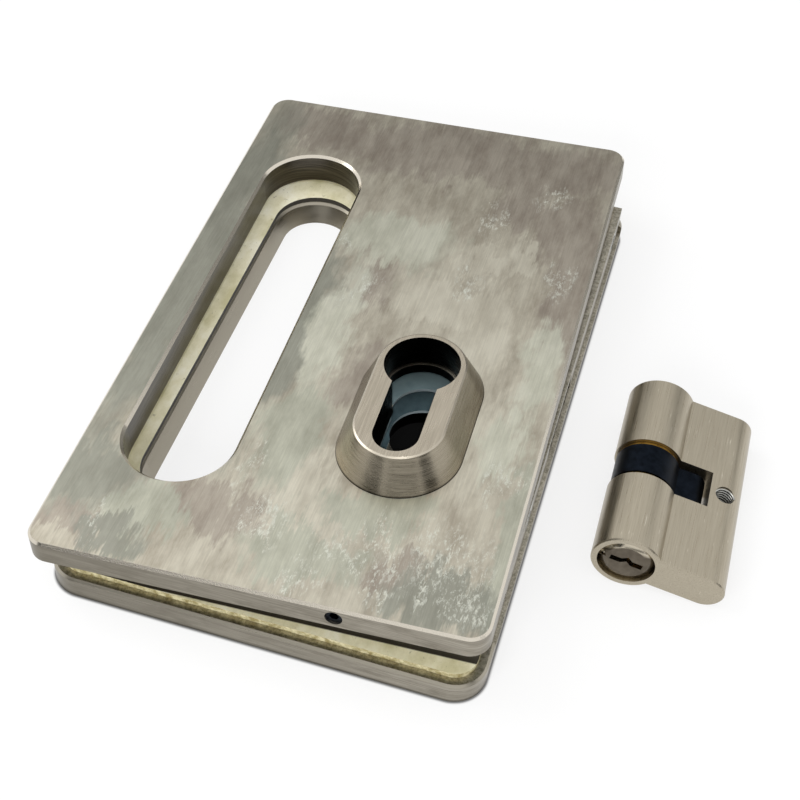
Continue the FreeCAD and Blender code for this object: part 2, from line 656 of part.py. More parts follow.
def profile(y0, y1):
    along = V(0, 1, 0)
    barrel = rod(V(0, y0, 0), along, BARREL_R, y1 - y0)
    fin = box(0, FIN_OUT, y0, y1, -FIN_HALF, FIN_HALF)
    fin_end = rod(V(FIN_OUT, y0, 0), along, FIN_HALF, y1 - y0)
    return barrel.fuse([fin, fin_end]).removeSplitter()


def pin_rows():
    """Places of the pins along Y, from each end inwards."""
    end = CYLINDER_L / 2
    rows = []
    for side in (-1, 1):
        rows.append([side * (end - PIN_FIRST - PIN_PITCH * k) for k in range(PIN_COUNT)])
    return rows


def cylinder_body():
    end = CYLINDER_L / 2
    body = profile(-end, end)
    rims = [e for e in body.Edges if e.BoundBox.YLength < FIT]
    body = body.makeChamfer(BEZEL_RIM, rims)
    body = body.cut(rod(V(0, -end, 0), V(0, 1, 0), PLUG_R + FIT, CYLINDER_L))
    gap = CAM_POCKET_W / 2
    body = body.cut(box(-BARREL_R, CAM_POCKET_OUT, -gap, gap, -BARREL_R, BARREL_R))
    body = body.cut(rod(V(FIXING_OUT, 0, -FIN_HALF), Z_AXIS, CYL_SCREW_R, 2 * FIN_HALF))
    for row in pin_rows():
        for y in row:
            body = body.cut(rod(V(PLUG_R, y, 0), V(1, 0, 0), PIN_R + FIT, FIN_OUT))
    return body


def chamber_out():
    return FIN_OUT + FIN_HALF


def driver_pins():
    pins = []
    for row in pin_rows():
        for y in row:
            pins.append(rod(V(PLUG_R + 2 * FIT, y, 0), V(1, 0, 0), PIN_R, DRIVER_L))
    return Part.makeCompound(pins)


def driver_springs():
    start = PLUG_R + 2 * FIT + DRIVER_L
    length = chamber_out() - BEZEL_RIM - CHAMBER_PLUG_L - start
    coils = []
    for row in pin_rows():
        for y in row:
            coils.append(rod(V(start, y, 0), V(1, 0, 0), SPRING_R, length))
    return Part.makeCompound(coils)


def chamber_plugs():
    start = chamber_out() - BEZEL_RIM - CHAMBER_PLUG_L
    plugs = []
    for row in pin_rows():
        for y in row:
            plugs.append(rod(V(start, y, 0), V(1, 0, 0), PIN_R, CHAMBER_PLUG_L))
    return Part.makeCompound(plugs)


def keyway(y0, y1):
    """Stepped slot for the key: three flats that shift sideways, swept along the plug."""
    half = KEYWAY_TALL / 2
    step = KEYWAY_TALL / 3
    left = [V(-half, y0, 0), V(-half + step, y0, 0), V(-half + 1.5 * step, y0, KEYWAY_BEND),
            V(-half + 2 * step, y0, 0), V(half, y0, 0)]
    lower = [p + V(0, 0, -KEYWAY_T / 2) for p in left]
    upper = [p + V(0, 0, KEYWAY_T / 2) for p in reversed(left)]
    outline = Part.makePolygon(lower + upper + [lower[0]])
    return Part.Face(outline).extrude(V(0, y1 - y0, 0))


def plug(side):
    """One plug, from the end of the barrel at this side to its neck inside the cam."""
    end = CYLINDER_L / 2 - PLUG_SUNK
    seat = CAM_POCKET_W / 2
    body = rod(V(0, seat, 0), V(0, 1, 0), PLUG_R, end - seat)
    face_edges = [e for e in body.Edges if abs(e.BoundBox.YMin - end) < FIT]
    body = body.makeChamfer(PLUG_BEVEL, face_edges)
    body = body.fuse(rod(V(0, CLUTCH_HALF, 0), V(0, 1, 0), PLUG_NECK_R, seat - CLUTCH_HALF))
    body = body.cut(keyway(end - KEYWAY_DEEP, end))
    notch = box(-PLUG_R, -PLUG_R + 1.5 * PLUG_BEVEL, end - 2 * PLUG_BEVEL, end, -PLUG_BEVEL, PLUG_BEVEL)
    body = body.cut(notch)
    for y in pin_rows()[1]:
        body = body.cut(rod(V(PIN_BORE_START, y, 0), V(1, 0, 0), PIN_R + FIT, PLUG_R))
    if side < 0:
        body = body.mirror(V(0, 0, 0), V(0, 1, 0))
    return body


def key_pins(side):
    row = pin_rows()[0] if side < 0 else pin_rows()[1]
    shear = math.sqrt(PLUG_R ** 2 - PIN_R ** 2) - FIT
    pins = []
    for y in row:
        pin = rod(V(PIN_BORE_START + PIN_R / 2, y, 0), V(1, 0, 0), PIN_R, shear - PIN_BORE_START - PIN_R / 2)
        tip = Part.makeCone(PIN_R / 2, PIN_R, PIN_R / 2, V(PIN_BORE_START, y, 0), V(1, 0, 0))
        pins.append(pin.fuse(tip))
    return Part.makeCompound(pins)


def cam():
    half = CAM_W / 2
    along = V(0, 1, 0)
    ring = rod(V(0, -half, 0), along, CAM_RING_R, CAM_W)
    beak = box(0, CAM_REACH - BEAK_W / 2, -half, half, -BEAK_W / 2, BEAK_W / 2)
    tip = rod(V(CAM_REACH - BEAK_W / 2, -half, 0), along, BEAK_W / 2, CAM_W)
    body = ring.fuse([beak, tip]).removeSplitter()
    return body.cut(rod(V(0, -half, 0), along, PLUG_NECK_R + FIT, CAM_W))


def cam_clutch():
    """Disc between the two necks that passes the turn of either plug to the cam."""
    half = CLUTCH_HALF - FIT
    return rod(V(0, -half, 0), V(0, 1, 0), PLUG_NECK_R, 2 * half)


def retaining_clips():
    clips = []
    gap = (CAM_POCKET_W - CAM_W) / 2 - CLIP_T
    for side in (-1, 1):
        y = side * (CAM_W + gap) / 2 if side > 0 else -(CAM_W + gap) / 2 - CLIP_T
        ring = rod(V(0, y, 0), V(0, 1, 0), CLIP_R, CLIP_T)
        clips.append(ring.cut(rod(V(0, y, 0), V(0, 1, 0), PLUG_NECK_R + FIT, CLIP_T)))
    return Part.makeCompound(clips)


save(back_plate(), "back_plate")
save(back_gasket(), "back_gasket")
save(clamp_studs(), "clamp_studs")
save(lock_case(), "lock_case")
save(case_cover(), "case_cover")
save(case_rivets(), "case_rivets")
save(case_screws(), "case_screws")
save(detent_spring(), "detent_spring")
save(hook_bolt(), "hook_bolt")
save(hook_pivot_pin(), "hook_pivot_pin")
save(forend(), "forend")
save(forend_screws(), "forend_screws")
save(cylinder_screw(), "cylinder_screw")
save(in_front(front_plate()), "front_plate")
save(in_front(front_gasket()), "front_gasket")
save(in_front(bezel()), "bezel")
save(in_front(bezel_screws()), "bezel_screws")
save(in_front(grub_screws()), "grub_screws")
save(in_cylinder(cylinder_body()), "cylinder_body")
save(in_cylinder(driver_pins()), "driver_pins")
save(in_cylinder(driver_springs()), "driver_springs")
save(in_cylinder(chamber_plugs()), "chamber_plugs")
save(in_cylinder(plug(-1)), "front_plug")
save(in_cylinder(key_pins(-1)), "front_key_pins")
save(in_cylinder(plug(1)), "rear_plug")
save(in_cylinder(key_pins(1)), "rear_key_pins")
save(in_cylinder(cam()), "cam")
save(in_cylinder(cam_clutch()), "cam_clutch")
save(in_cylinder(retaining_clips()), "retaining_clips")
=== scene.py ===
import math

import bmesh
import bpy
from mathutils import Matrix, Vector


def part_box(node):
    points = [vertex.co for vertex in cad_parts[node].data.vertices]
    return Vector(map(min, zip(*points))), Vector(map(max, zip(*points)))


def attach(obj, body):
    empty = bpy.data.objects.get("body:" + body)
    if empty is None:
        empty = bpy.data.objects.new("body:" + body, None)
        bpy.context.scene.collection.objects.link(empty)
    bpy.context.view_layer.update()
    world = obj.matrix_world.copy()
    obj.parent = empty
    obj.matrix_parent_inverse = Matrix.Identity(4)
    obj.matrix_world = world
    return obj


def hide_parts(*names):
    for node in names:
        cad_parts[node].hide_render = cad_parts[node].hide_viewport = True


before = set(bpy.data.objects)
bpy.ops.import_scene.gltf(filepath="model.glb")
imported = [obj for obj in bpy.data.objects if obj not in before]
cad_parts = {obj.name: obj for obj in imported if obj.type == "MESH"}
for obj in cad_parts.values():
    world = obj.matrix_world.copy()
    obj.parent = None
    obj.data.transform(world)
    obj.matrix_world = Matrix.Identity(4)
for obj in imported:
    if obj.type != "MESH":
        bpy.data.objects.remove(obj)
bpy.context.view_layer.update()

MM = 0.001

# Where the loose cylinder lies. It touches the table with its round part, 8.5 mm in radius, and with the
# rounded end of its fin, 5 mm in radius and 19.5 mm away, so the fin droops.
CYLINDER_AT = Vector((76.1, -19.5, 8.5)) * MM
CYLINDER_TURN = math.radians(0.77)
FIN_DROOP = math.asin((8.5 - 5.0) / 19.5)
CYLINDER_FRAME = (Matrix.Translation(CYLINDER_AT) @ Matrix.Rotation(CYLINDER_TURN, 4, "Z")
                  @ Matrix.Rotation(FIN_DROOP, 4, "Y"))

# Middle of the cylinder hole through the lock, in millimetres
HOLE_X = 19.7
HOLE_Y = -33.0

# Upright boxes round the finger pull and the cylinder hole, each from and to along X and then along Y, in
# millimetres. The openings differ a little from piece to piece.
FRONT_PULL = (-52, -16, -67, 66)
BACK_PULL = (-46, -17, -66, 60)
GASKET_PULL = (-50, -14, -71, 71)
FRONT_BORE = (HOLE_X - 14, HOLE_X + 12, HOLE_Y - 20, HOLE_Y + 24)
BACK_BORE = (HOLE_X - 14, HOLE_X + 14, HOLE_Y - 20, HOLE_Y + 24)
UNDER_HOLE = (HOLE_X - 16, HOLE_X + 16, HOLE_Y - 32, HOLE_Y + 32)

# Upward direction of the tilted front plate, and how far along it its top face lies from the origin
PLATE_UP = (-0.0629, 0.0150, 0.9979)
PLATE_TOP = 20.162 * MM

# Painted shadow at the foot of the bezel, where it meets the plate: all dark up to the first height, none
# from the second
FOOT_SHADOW = (0.1 * MM, 0.5 * MM)

# The band of painted shade on the gaskets, in the gap between the plates where no light falls: the way into
# the gap, where it starts and how deep it goes
SHADE_INWARD = (-0.0536, 1, 0)
SHADE_FROM = -87.2 * MM
SHADE_DEPTH = 14 * MM

# Height between the two gaskets: a cut edge above it is the front gasket's
GASKETS_MEET = 7.7 * MM

# Along X, where the sides of the plates are dark from handling, and where that has ended
HANDLED = (-60 * MM, 35 * MM)


# Colours and nodes

def colour(code):
    """Linear colour of an sRGB hex code."""
    parts = [int(code[k:k + 2], 16) / 255 for k in (1, 3, 5)]
    linear = [p / 12.92 if p <= 0.04045 else ((p + 0.055) / 1.055) ** 2.4 for p in parts]
    return (*linear, 1.0)


def add_node(tree, kind, settings=None, output=0, **inputs):
    """Adds a node and gives one of its outputs. Settings are attributes, or the stops of a ramp as places
    with grey values or hex colours. Inputs go by name, or by number after an underscore."""
    node = tree.nodes.new(kind)
    for name, value in (settings or {}).items():
        if name != "stops":
            setattr(node, name, value)
            continue
        points = node.color_ramp.elements
        while len(points) < len(value):
            points.new(1.0)
        for point, (place, shade) in zip(points, value):
            point.position = place
            point.color = colour(shade) if isinstance(shade, str) else (shade, shade, shade, 1.0)
    for name, value in inputs.items():
        socket = node.inputs[int(name[1:]) if name[0] == "_" else name.replace("_", " ")]
        if isinstance(value, bpy.types.NodeSocket):
            tree.links.new(value, socket)
        else:
            socket.default_value = value
    return node.outputs[output] if len(node.outputs) else None


# Settings and inputs that come up again and again. A Mix of colours takes its part at input 0 and its two
# colours at inputs 6 and 7, and gives its result at output 2.
COLOURS = {"data_type": "RGBA"}
TIMES = {"operation": "MULTIPLY"}
MINUS = {"operation": "SUBTRACT"}
MOST = {"operation": "MAXIMUM"}
UNSIGNED = {"operation": "ABSOLUTE"}
LENGTH = {"operation": "LENGTH"}
ALONG = {"operation": "DOT_PRODUCT"}
ABOVE = {"operation": "GREATER_THAN"}

# Nearly all values of a noise lie between these
NOISE_SPAN = {"From_Min": 0.3, "From_Max": 0.7}

# How level a face is, from 0 upright to 1 level: where sides end, and where chamfers start and end and level
# faces start
SIDE_TO = 0.3
CHAMFER_FROM = 0.42
CHAMFER_TO = 0.86
LEVEL_FROM = 0.93

# Width in millimetres of the strokes of brushing, grinding and turning. Real ones are a few hundredths of a
# millimetre wide, which is too fine to show, so they are drawn this coarse.
STROKE = 0.3
FINE_STROKE = 0.28
SCRATCH = 0.35

# Strength of every bump
RELIEF = 0.7


class Finish:
    """A material in the making: its tree, the place on the piece and the way the surface faces."""

    def __init__(self, name):
        self.material = bpy.data.materials.new(name)
        self.material.use_nodes = True
        self.tree = self.material.node_tree
        self.tree.nodes.clear()
        self.place = self.add("TexCoord", output="Object")
        facing = self.add("SeparateXYZ", output="Z", Vector=self.add("TexCoord", output="Normal"))
        self.level = self.add("Math", UNSIGNED, _0=facing)

    def add(self, kind, settings=None, output=0, **inputs):
        return add_node(self.tree, "ShaderNode" + kind, settings, output, **inputs)

    def pattern(self, size_mm, offset=(0, 0, 0), detail=4.0, rough=0.6, output=0):
        """Noise whose grains have a real size along X, Y and Z."""
        spread = self.add("Mapping", Vector=self.place, Scale=[1 / (s * MM) for s in size_mm],
                          Location=offset)
        return self.add("TexNoise", output=output, Vector=spread, Scale=1.0, Detail=detail, Roughness=rough)

    def by_face(self, top, chamfer, side):
        """One colour or roughness on level faces, another on chamfers and a third on upright sides."""
        sloped = self.add("ValToRGB", {"stops": ((SIDE_TO, 0.0), (CHAMFER_FROM, 1.0))}, Fac=self.level)
        flat = self.add("ValToRGB", {"stops": ((CHAMFER_TO, 0.0), (LEVEL_FROM, 1.0))}, Fac=self.level)
        edge = self.add("Mix", COLOURS, 2, _0=sloped, _6=side, _7=chamfer)
        return self.add("Mix", COLOURS, 2, _0=flat, _6=edge, _7=top)

    def within(self, box, soft=0.02):
        """1 inside an upright box of the part and 0 outside, fading over the outermost part soft of it."""
        x0, x1, y0, y1 = box
        half_x, half_y = (x1 - x0) / 2, (y1 - y0) / 2
        near = self.add("Mapping", Vector=self.place, Scale=(1 / (half_x * MM), 1 / (half_y * MM), 0),
                        Location=(-(x0 + x1) / 2 / half_x, -(y0 + y1) / 2 / half_y, 0))
        reach = self.add("SeparateXYZ", Vector=self.add("VectorMath", UNSIGNED, _0=near)).node.outputs
        far = self.add("Math", MOST, _0=reach["X"], _1=reach["Y"])
        return self.add("MapRange", Value=far, From_Min=1 - soft, From_Max=1.0, To_Min=1.0, To_Max=0.0)

    def surface(self, relief, depth_mm, **inputs):
        """Closes the material with a principled surface and a bump of real depth."""
        bump = self.add("Bump", Height=relief, Distance=depth_mm * MM, Strength=RELIEF)
        shader = self.add("BsdfPrincipled", Normal=bump, **inputs)
        self.add("OutputMaterial", Surface=shader)
        return self.material


# Stains of the front plate: middle and half sizes along X and Y in millimetres

MAUVE_FILM = (
    (-19, -71, 12, 8), (40, 49, 9, 15), (-45, -85, 10, 6), (26, -77, 7, 6), (3, -19, 9, 11), (8, 76, 50, 14),
    (47, 28, 9, 30), (25, 56, 8, 12), (-38, 78, 16, 9), (-8, 12, 7, 9))
PALE_FILM = (
    (30, 34, 4, 6), (20, 31, 5, 6), (12, 14, 15, 9), (1, -62, 11, 12), (27, 4, 7, 16), (36, -36, 4, 16))
SAGE_FILM = ((-32, -76, 8, 7), (5, -78, 14, 9), (-7, -44, 8, 20), (50, -62, 3.5, 26), (19, -61, 11, 6))
LIGHT_SAGE_FILM = ((-4, 34, 16, 13), (43, -5, 6, 16), (-12, -4, 5, 24), (41, -34, 6, 12))
BARE_STEEL = ((-54, 10, 9, 74), (-50, -68, 13, 13), (-37, -86, 7, 5), (-20, -14, 5, 40), (41, -82, 15, 9))
LIME_CRUST = (
    (-18, 29, 4, 5), (-10, 10, 5, 5), (18, 22, 3, 4), (33, 62, 4, 5), (18, 48, 3, 6), (41, 28, 4, 6),
    (-6, -72, 6, 4), (18, -72, 9, 7), (38, -71, 10, 10), (44, -81, 6, 6), (44, -44, 5, 7),
    (-40, -80, 2, 6), (9, -86, 6, 4), (25, -85, 5, 4), (-30, -60, 2, 6), (-14, -58, 3, 5))

# What lies over the beige film, from the bottom up: the stains, how soft their edges are, how well they
# cover, and their dark and light colours
FILMS = (
    (MAUVE_FILM, 0.2, 0.72, "#978c81", "#afa599"),
    (PALE_FILM, 0.2, 0.8, "#cac4b3", "#dfdac9"),
    (SAGE_FILM, 0.16, 0.75, "#adaf9f", "#c3c5b4"),
    (LIGHT_SAGE_FILM, 0.2, 0.8, "#c9cab8", "#dfdfce"),
    (BARE_STEEL, 0.25, 0.85, "#939488", "#a0a195"))

# Lime: width and length in millimetres of the cells whose seams it follows, how soft the edges of its patches
# are, how well it covers, and how much rougher it is
LIME_CELL = (2.3, 3.4)
LIME_SOFT = 0.3
LIME_COVER = 0.9
LIME_ROUGHER = 0.2

# How the edges of the stains are pushed about: size of the noise, and how far its whole swing moves them, in
# millimetres
PUSHES = (((16, 24, 16), (22, 30, 0)), ((2.5, 9, 2.5), (8, 24, 0)), ((0.4, 5, 0.4), (2, 12, 0)))


def ragged(finish):
    """The place in millimetres, pushed about along the grain, which gives stains their ragged edges."""
    where = finish.add("VectorMath", {"operation": "SCALE"}, _0=finish.place, Scale=1 / MM)
    for k, (grain, push) in enumerate(PUSHES):
        wave = finish.pattern(grain, (3.1 * k, 1.7 * k, 0), output="Color")
        swing = finish.add("VectorMath", MINUS, _0=wave, _1=(0.5, 0.5, 0.5))
        shift = finish.add("VectorMath", TIMES, _0=swing, _1=push)
        where = finish.add("VectorMath", {"operation": "ADD"}, _0=where, _1=shift)
    return where


def stained(finish, where, stains, soft):
    """How far a point lies in any of the stains, from 0 to 1."""
    mask = 0.0
    for x, y, half_x, half_y in stains:
        near = finish.add("Mapping", Vector=where, Scale=(1 / half_x, 1 / half_y, 0),
                          Location=(-x / half_x, -y / half_y, 0))
        reach = finish.add("VectorMath", LENGTH, "Value", _0=near)
        one = finish.add("MapRange", Value=reach, From_Min=1 - soft, From_Max=1 + soft,
                         To_Min=1.0, To_Max=0.0)
        mask = finish.add("Math", MOST, _0=mask, _1=one)
    return mask


def etched_films(finish, where):
    """Colour of the etched top: a beige film with the others over it."""
    tone = finish.pattern((6, 17, 6), (1.3, 0.4, 0), detail=6.0, rough=0.65)
    top = finish.add("ValToRGB", {"stops": ((0.36, "#b0a898"), (0.6, "#cfc9b8"))}, Fac=tone)
    for stains, soft, cover, dark, light in FILMS:
        film = finish.add("ValToRGB", {"stops": ((0.34, dark), (0.62, light))}, Fac=tone)
        part = finish.add("Math", TIMES, _0=stained(finish, where, stains, soft), _1=cover)
        top = finish.add("Mix", COLOURS, 2, _0=part, _6=top, _7=film)
    return top


def lime_flakes(finish, where):
    """How far a point is covered with lime, from 0 to 1: cracked rims and loose scales of a few
    millimetres."""
    flake = finish.pattern((1.2, 2.2, 1.2), (0.3, 7.7, 0), detail=7.0, rough=0.7)
    cells = finish.add("Mapping", Vector=where, Scale=(1 / LIME_CELL[0], 1 / LIME_CELL[1], 0))
    seams = finish.add("TexVoronoi", {"feature": "DISTANCE_TO_EDGE"}, "Distance", Vector=cells, Scale=1.0)
    lines = finish.add("ValToRGB", {"stops": ((0.03, 1.0), (0.11, 0.0))}, Fac=seams)
    broken = finish.add("ValToRGB", {"stops": ((0.46, 0.0), (0.55, 1.0))}, Fac=flake)
    scales = finish.add("ValToRGB", {"stops": ((0.6, 0.0), (0.65, 1.0))}, Fac=flake)
    crust = finish.add("Math", MOST, _0=finish.add("Math", TIMES, _0=lines, _1=broken), _1=scales)
    return finish.add("Math", TIMES, _0=crust, _1=stained(finish, where, LIME_CRUST, LIME_SOFT))


# Finishes

def ground_sides(finish, pull_box, bore_box, wall_dark, wall_light):
    """Ground stainless sides with long strokes parallel to the faces, brown where grime stays, and darker
    towards the pull, where hands reach round. The walls of the pull are painted darker as shade in the
    recess, and the bore nearly black as painted shade. Gives the strokes, where the walls of the pull are,
    and the colour."""
    strokes = finish.pattern((14, 14, STROKE))
    grime = finish.pattern((11, 11, 3), (2, 5, 1), detail=6.0, rough=0.65)
    steel = finish.add("ValToRGB", {"stops": ((0.32, "#857f73"), (0.68, "#a9a396"))}, Fac=strokes)
    part = finish.add("ValToRGB", {"stops": ((0.48, 0.0), (0.72, 0.75))}, Fac=grime)
    steel = finish.add("Mix", COLOURS, 2, _0=part, _6=steel, _7=colour("#6d6659"))
    along = finish.add("SeparateXYZ", output="X", Vector=finish.place)
    handled = finish.add("MapRange", Value=along, From_Min=HANDLED[0], From_Max=HANDLED[1],
                         To_Min=0.7, To_Max=0.0)
    side = finish.add("Mix", COLOURS, 2, _0=handled, _6=steel, _7=colour("#6f6a5e"))
    pull = finish.within(pull_box)
    # Painted shade: the walls of the pull are darker than the sides, and the bore below is nearly black
    wall = finish.add("ValToRGB", {"stops": ((0.35, wall_dark), (0.65, wall_light))}, Fac=strokes)
    side = finish.add("Mix", COLOURS, 2, _0=pull, _6=side, _7=wall)
    side = finish.add("Mix", COLOURS, 2, _0=finish.within(bore_box), _6=side, _7=colour("#1f1e1b"))
    return strokes, pull, side


def cloudy_stainless():
    """Brushed stainless plate that cleaner has etched: a beige film with mauve, pale and sage patches whose
    edges run ragged along the grain, grey steel where hands wore it off, and flaky lime where drops dried."""
    finish = Finish("cloudy_brushed_stainless")
    grain = finish.pattern((STROKE, 13, STROKE), detail=3.0)
    where = ragged(finish)
    crust = lime_flakes(finish, where)
    top = finish.add("Mix", COLOURS, 2, _0=finish.add("Math", TIMES, _0=crust, _1=LIME_COVER),
                     _6=etched_films(finish, where), _7=colour("#e3e4d8"))
    hairs = finish.add("ValToRGB", {"stops": ((0.3, 0.84), (0.7, 1.0))}, Fac=grain)
    top = finish.add("Mix", {"data_type": "RGBA", "blend_type": "MULTIPLY"}, 2, _0=1.0, _6=top, _7=hairs)
    _, pull, side = ground_sides(finish, FRONT_PULL, FRONT_BORE, "#3a3630", "#5a554c")
    # The chamfers are lighter than the top: partly wear, partly a painted highlight of the bright edge line
    base = finish.by_face(top, colour("#d8d1c3"), side)
    brushed = finish.add("MapRange", Value=grain, **NOISE_SPAN, To_Min=0.3, To_Max=0.4)
    dull = finish.add("Math", {"operation": "MULTIPLY_ADD"}, _0=crust, _1=LIME_ROUGHER, _2=brushed)
    side_dull = finish.add("Mix", COLOURS, 2, _0=pull, _6=(0.36, 0.36, 0.36, 1), _7=(0.24, 0.24, 0.24, 1))
    rough = finish.by_face(dull, (0.2, 0.2, 0.2, 1), side_dull)
    return finish.surface(grain, 0.02, Metallic=1.0, Base_Color=base, Roughness=rough)


def rim_stainless():
    """Ground stainless of the back plate and the forend: the plate's narrow top rim is dark and speckled,
    its chamfer worn bright."""
    finish = Finish("speckled_ground_stainless")
    speckle = finish.pattern((0.7, 0.7, 0.7), detail=5.0, rough=0.7)
    top = finish.add("ValToRGB", {"stops": ((0.38, "#8b8779"), (0.6, "#c0baab"))}, Fac=speckle)
    strokes, _, side = ground_sides(finish, BACK_PULL, BACK_BORE, "#625b50", "#857d70")
    base = finish.by_face(top, colour("#a8a294"), side)
    rough = finish.add("MapRange", Value=strokes, **NOISE_SPAN, To_Min=0.26, To_Max=0.4)
    return finish.surface(strokes, 0.02, Metallic=1.0, Base_Color=base, Roughness=rough)


def satin_nickel():
    """The bezel: satin nickel, brushed round the piece, with a painted shadow along its foot, a painted
    highlight on its rim and its bore painted nearly black as shade.
    """
    finish = Finish("satin_nickel")
    strokes = finish.pattern((9, 9, FINE_STROKE), (1, 1, 4))
    brushed = finish.pattern((STROKE, 10, STROKE), (5, 1, 2))
    cloud = finish.pattern((9, 9, 8))
    top = finish.add("ValToRGB", {"stops": ((0.3, "#a89f8f"), (0.7, "#c2b9a8"))}, Fac=brushed)
    slope = finish.add("ValToRGB", {"stops": ((0.3, "#8d8575"), (0.7, "#aea594"))}, Fac=strokes)
    slope = finish.add("Mix", COLOURS, 2, _0=finish.add("Math", TIMES, _0=cloud, _1=0.5), _6=slope,
                       _7=colour("#a29a89"))
    # Painted highlight: faces of the rim's slope are lighter, standing in for the bright line of light on it
    rim = finish.add("ValToRGB", {"stops": ((0.56, 0.0), (0.66, 1.0))}, Fac=finish.level)
    slope = finish.add("Mix", COLOURS, 2, _0=rim, _6=slope, _7=colour("#bdb5a6"))
    # Painted shadow: a dark band along the bezel's foot, just above the plate
    height = finish.add("VectorMath", ALONG, "Value", _0=finish.place, _1=PLATE_UP)
    foot = finish.add("MapRange", Value=height, From_Min=PLATE_TOP + FOOT_SHADOW[0],
                      From_Max=PLATE_TOP + FOOT_SHADOW[1])
    slope = finish.add("Mix", COLOURS, 2, _0=foot, _6=colour("#2a2722"), _7=slope)
    # Painted shade: the upright faces, the bezel's bore, are nearly black
    base = finish.by_face(top, slope, colour("#191816"))
    rough = finish.add("MapRange", Value=strokes, **NOISE_SPAN, To_Min=0.22, To_Max=0.34)
    return finish.surface(strokes, 0.02, Metallic=1.0, Base_Color=base, Roughness=rough)


def cylinder_nickel():
    """The cylinder: satin nickel over brass, brushed along its length, with a few bright scratches."""
    finish = Finish("cylinder_satin_nickel")
    strokes = finish.pattern((FINE_STROKE, 11, FINE_STROKE))
    broad = finish.pattern((2.0, 30, 2.0), (2, 0, 5))
    scratch = finish.pattern((SCRATCH, 6, 4), (7, 3, 1), detail=2.0)
    base = finish.add("ValToRGB", {"stops": ((0.3, "#a39a88"), (0.7, "#c0b8a6"))}, Fac=strokes)
    base = finish.add("Mix", COLOURS, 2, _0=finish.add("Math", TIMES, _0=broad, _1=0.5), _6=base,
                      _7=colour("#a69d8b"))
    worn = finish.add("ValToRGB", {"stops": ((0.7, 0.0), (0.74, 0.8))}, Fac=scratch)
    base = finish.add("Mix", COLOURS, 2, _0=worn, _6=base, _7=colour("#dcd5c5"))
    rough = finish.add("MapRange", Value=strokes, **NOISE_SPAN, To_Min=0.26, To_Max=0.36)
    return finish.surface(strokes, 0.02, Metallic=1.0, Base_Color=base, Roughness=rough)


def plug_nickel():
    """Plug: nickel, smoother than the body; its upright face is darker and its bevel lighter."""
    finish = Finish("turned_nickel")
    cloud = finish.pattern((2.5, 2.5, 2.5), detail=6.0)
    face = finish.add("ValToRGB", {"stops": ((0.3, "#4f483e"), (0.7, "#6e665a"))}, Fac=cloud)
    base = finish.by_face(colour("#c4bba9"), colour("#c4bba9"), face)
    rough = finish.add("MapRange", Value=cloud, **NOISE_SPAN, To_Min=0.14, To_Max=0.26)
    return finish.surface(cloud, 0.01, Metallic=1.0, Base_Color=base, Roughness=rough)


def cream_rubber():
    """Aged cream rubber sheet: blotched, with brown pinholes and olive grime along its cut edge. Painted
    shade makes it nearly black where no light falls between the plates: a band of its top under the front
    plate's near edge, the front gasket's cut edge and the cut edge in the pull."""
    finish = Finish("cream_rubber")
    stain = finish.pattern((7, 12, 7), detail=7.0, rough=0.65)
    spots = finish.pattern((1.6, 2.2, 1.6), (4, 2, 1), detail=5.0, rough=0.7)
    top = finish.add("ValToRGB", {"stops": ((0.34, "#cfc89f"), (0.52, "#e9e3c3"), (0.66, "#f6f2dc"))},
                     Fac=stain)
    pits = finish.add("ValToRGB", {"stops": ((0.62, 0.0), (0.7, 0.6))}, Fac=spots)
    top = finish.add("Mix", COLOURS, 2, _0=pits, _6=top, _7=colour("#8a8058"))
    # Painted shade: a band of the top under the front plate's near edge is nearly black, where no light falls
    inward = finish.add("VectorMath", ALONG, "Value", _0=finish.place, _1=SHADE_INWARD)
    inward = finish.add("MapRange", Value=inward, From_Min=SHADE_FROM, From_Max=SHADE_FROM + SHADE_DEPTH)
    fading = ((0.0, 0.0), (0.02, 1.0), (0.22, 0.95), (0.45, 0.3), (1.0, 0.0))
    grime = finish.add("ValToRGB", {"stops": fading}, Fac=inward)
    top = finish.add("Mix", COLOURS, 2, _0=grime, _6=top, _7=colour("#28231a"))
    cut = finish.add("ValToRGB", {"stops": ((0.38, "#8d8052"), (0.6, "#d2caa4"))}, Fac=spots)
    # Painted shade: the front gasket's cut edge and the cut edge in the pull are nearly black, where no light
    # reaches
    height = finish.add("SeparateXYZ", output="Z", Vector=finish.place)
    upper = finish.add("Math", ABOVE, _0=height, _1=GASKETS_MEET)
    dark = finish.add("Math", MOST, _0=upper, _1=finish.within(GASKET_PULL))
    cut = finish.add("Mix", COLOURS, 2, _0=dark, _6=cut, _7=colour("#2b261d"))
    base = finish.by_face(top, cut, cut)
    return finish.surface(stain, 0.15, Metallic=0.0, Base_Color=base, Roughness=0.62)


def zinc_steel(name, dark, light):
    """Pressed steel with dull blue zinc plating; its sheared edges are lighter."""
    finish = Finish(name)
    cloud = finish.pattern((6, 6, 6), detail=5.0)
    top = finish.add("ValToRGB", {"stops": ((0.3, dark), (0.7, light))}, Fac=cloud)
    base = finish.by_face(top, colour("#bccace"), colour("#a3b1b5"))
    rough = finish.add("MapRange", Value=cloud, **NOISE_SPAN, To_Min=0.36, To_Max=0.5)
    return finish.surface(cloud, 0.01, Metallic=0.5, Base_Color=base, Roughness=rough)


def turned_steel():
    """Turned and polished steel of the screws, pins and hook bolt, with faint tool marks."""
    finish = Finish("turned_steel")
    cloud = finish.pattern((3, 3, 3))
    marks = finish.pattern((STROKE, 3, 3), (2, 2, 2))
    base = finish.add("ValToRGB", {"stops": ((0.3, "#a6a6a2"), (0.7, "#c6c6c2"))}, Fac=cloud)
    rough = finish.add("MapRange", Value=marks, **NOISE_SPAN, To_Min=0.2, To_Max=0.34)
    return finish.surface(marks, 0.01, Metallic=1.0, Base_Color=base, Roughness=rough)


